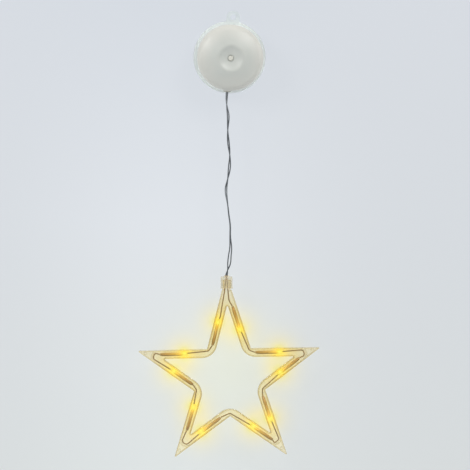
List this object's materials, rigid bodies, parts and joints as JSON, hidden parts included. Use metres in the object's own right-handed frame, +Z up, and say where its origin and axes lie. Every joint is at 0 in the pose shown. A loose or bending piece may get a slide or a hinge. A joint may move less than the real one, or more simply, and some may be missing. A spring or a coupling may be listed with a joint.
{
  "type": "lighted window star",
  "caption": "Battery-lit clear plastic star hanging by a twisted pair of wires from a round battery unit on a suction cup",
  "frame": {"origin": "middle of the suction cup's lip, on the glass", "axes": "+Z up, +Y into the glass behind the cup, +X to the right as seen from the front"},
  "size_m": [0.1805, 0.0356, 0.4448],
  "materials": {
    "cup_soft": "gloss",
    "housing_pale": "satin",
    "cover_pale": "satin",
    "button_pale": "satin",
    "tray_black": "matte",
    "cell_jacket": "satin",
    "contact_metal": "brushed",
    "screw_metal": "brushed",
    "board_green": "satin",
    "part_black": "matte",
    "resistor_body": "satin",
    "gland_soft": "matte",
    "wire_dark": "satin",
    "wire_red": "satin",
    "star_clear": "gloss",
    "cap_beige": "satin",
    "light_lens": "gloss",
    "sleeve_brown": "satin"
  },
  "bodies": {
    "holder": {"suction_cup": "cup_soft", "back_cover": "cover_pale"},
    "housing": {"front_housing": "housing_pale", "cord_gland": "gland_soft", "battery_tray": "tray_black", "battery_1": "cell_jacket", "battery_2": "cell_jacket", "battery_3": "cell_jacket", "terminal_positive": "contact_metal", "terminal_negative": "contact_metal", "cell_link_top": "contact_metal", "cell_link_bottom": "contact_metal", "tray_screws": "screw_metal", "circuit_board": "board_green", "push_switch": "part_black", "timer_chip": "part_black", "resistor": "resistor_body", "feed_wire_red": "wire_red", "feed_wire_black": "wire_dark"},
    "button": {"push_button": "button_pale", "switch_plunger": "part_black"},
    "star": {"wire_knot": "wire_dark", "lead_wire_a": "wire_dark", "lead_wire_b": "wire_dark", "hanger_cap": "cap_beige", "star_front_shell": "star_clear", "star_back_cover": "star_clear", "light_1": "light_lens", "light_2": "light_lens", "light_3": "light_lens", "light_4": "light_lens", "light_5": "light_lens", "light_6": "light_lens", "light_7": "light_lens", "light_8": "light_lens", "light_9": "light_lens", "light_10": "light_lens", "light_sleeve_1": "sleeve_brown", "light_sleeve_2": "sleeve_brown", "light_sleeve_3": "sleeve_brown", "light_sleeve_4": "sleeve_brown", "light_sleeve_5": "sleeve_brown", "light_sleeve_6": "sleeve_brown", "light_sleeve_7": "sleeve_brown", "light_sleeve_8": "sleeve_brown", "light_sleeve_9": "sleeve_brown", "light_sleeve_10": "sleeve_brown", "string_wire_1": "wire_dark", "string_wire_2": "wire_dark", "string_wire_3": "wire_dark", "string_wire_4": "wire_dark", "string_wire_5": "wire_dark", "string_wire_6": "wire_dark", "string_wire_7": "wire_dark", "string_wire_8": "wire_dark", "string_wire_9": "wire_dark", "string_wire_10": "wire_dark", "string_wire_11": "wire_dark"}
  },
  "joints": [
    {"name": "housing_twist", "type": "hinge", "parent": "holder", "child": "housing", "pos_m": [0, 0, 0], "axis": [0, -1, 0], "range_deg": [0, 15]},
    {"name": "button_press", "type": "slide", "parent": "housing", "child": "button", "axis": [0, 1, 0], "range_m": [0, 0.0012], "stiffness_N_per_m": 900},
    {"name": "star_swing", "type": "hinge", "parent": "housing", "child": "star", "pos_m": [-0.00292, -0.018, -0.03146], "axis": [0, -1, 0], "range_deg": [-20, 20]}
  ]
}
